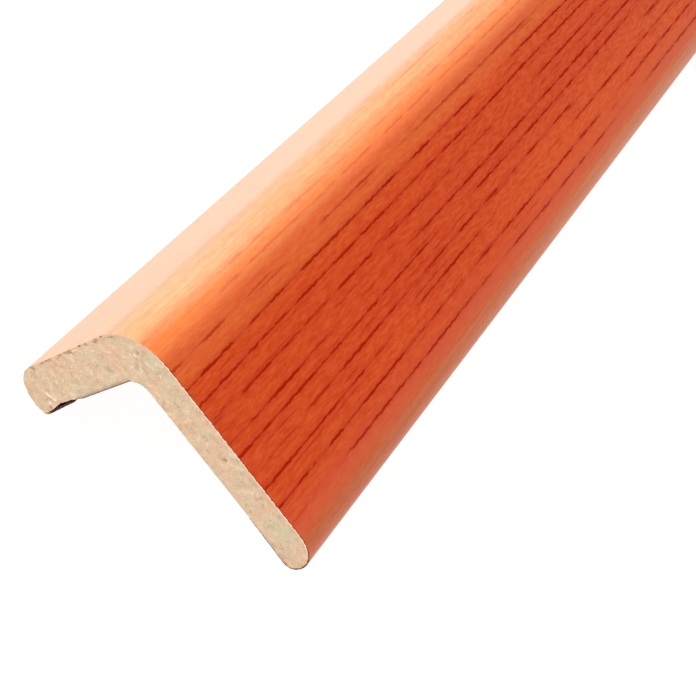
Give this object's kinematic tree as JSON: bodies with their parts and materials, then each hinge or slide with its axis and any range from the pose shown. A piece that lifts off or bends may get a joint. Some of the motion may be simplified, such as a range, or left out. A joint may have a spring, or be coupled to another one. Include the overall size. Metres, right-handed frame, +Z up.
{
  "type": "corner guard moulding",
  "caption": "Straight L-section corner guard moulding: a rounded fibreboard angle with unequal legs, wrapped in a reddish wood-grain decor film that turns onto the bare back.",
  "frame": {"origin": "centre of the moulding's footprint on the floor, half way along its length", "axes": "+X along the length, +Z up to the outer corner; the short leg comes down towards -Y and the long leg towards +Y"},
  "size_m": [1.2, 0.0356, 0.0203],
  "materials": {
    "fibreboard": "bare medium-density fibreboard, sawn ends",
    "decor_film": "satin reddish cherry wood-grain film"
  },
  "bodies": {
    "root": {"fibreboard_angle": "fibreboard", "decor_film": "decor_film"}
  },
  "joints": []
}
